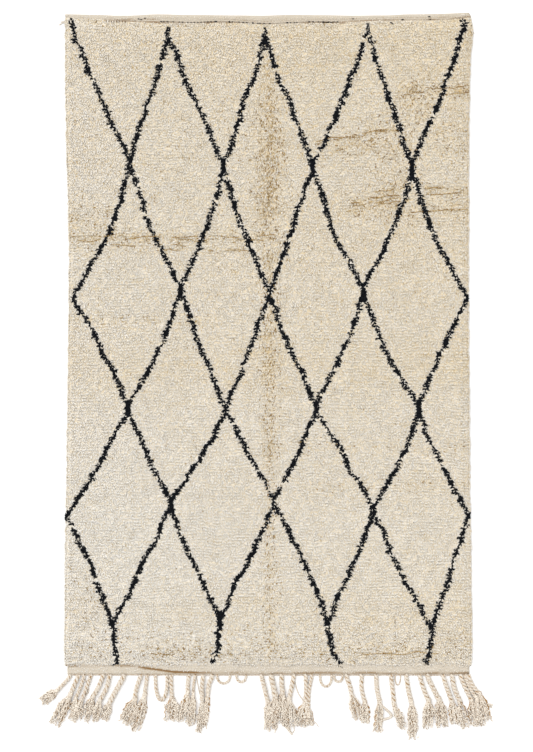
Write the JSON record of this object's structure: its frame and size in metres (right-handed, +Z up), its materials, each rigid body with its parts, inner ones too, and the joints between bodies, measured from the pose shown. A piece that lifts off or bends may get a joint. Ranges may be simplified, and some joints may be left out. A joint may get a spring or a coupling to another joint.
{
  "type": "beni ourain rug",
  "caption": "Flat hand-knotted wool rug, ivory pile with a dark wandering diamond lattice, plain hem at one end and a knotted warp fringe at the other.",
  "frame": {"origin": "middle of the whole rug's box, fringe included, on the floor under it", "axes": "+Z up out of the pile, +Y along the rug from the fringe end to the hemmed end, +X to the right seen from above with the fringe towards the viewer"},
  "size_m": [1.691, 2.6994, 0.0258],
  "materials": {
    "wool_pile": "Matt ivory sheep's wool pile with dark navy-charcoal lines, uneven and softly napped",
    "warp_yarn": "Matt cream plied yarn with fine brown flecks"
  },
  "bodies": {
    "root": {"rug_body": "wool_pile", "fringe": "warp_yarn"}
  },
  "joints": []
}
